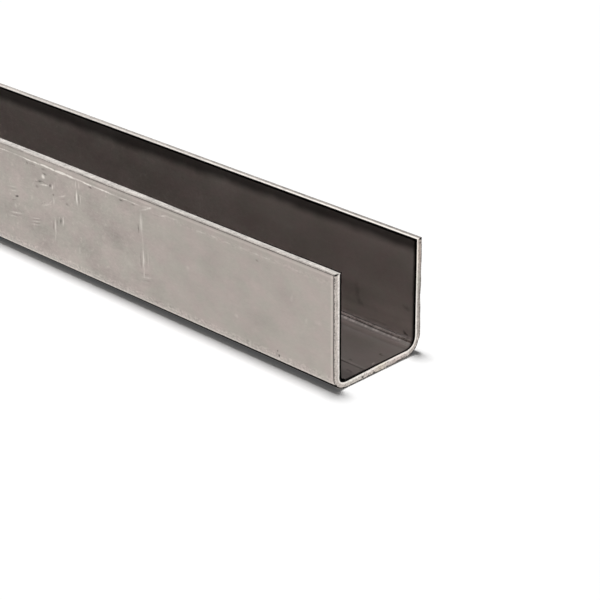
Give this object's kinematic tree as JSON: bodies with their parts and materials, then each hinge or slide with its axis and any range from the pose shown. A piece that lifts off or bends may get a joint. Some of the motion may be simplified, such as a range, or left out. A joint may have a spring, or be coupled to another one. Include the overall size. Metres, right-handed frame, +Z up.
{
  "type": "metal channel section",
  "caption": "Straight length of cold-formed steel U channel: a flat web and two equal upright flanges with rounded bends, cut square at both ends.",
  "frame": {"origin": "centre of the web's flat underside, half way along the cut length", "axes": "+X along the stock towards the cut end that the picture shows, +Y across the section towards the flange with the wider bend, +Z up out of the open side"},
  "size_m": [1, 0.03, 0.03],
  "materials": {
    "mill_steel": "bare cold-formed steel, matt mill finish with light rolling marks, fresh brighter metal on the slit edges and cut ends"
  },
  "bodies": {
    "root": {"channel": "mill_steel"}
  },
  "joints": []
}
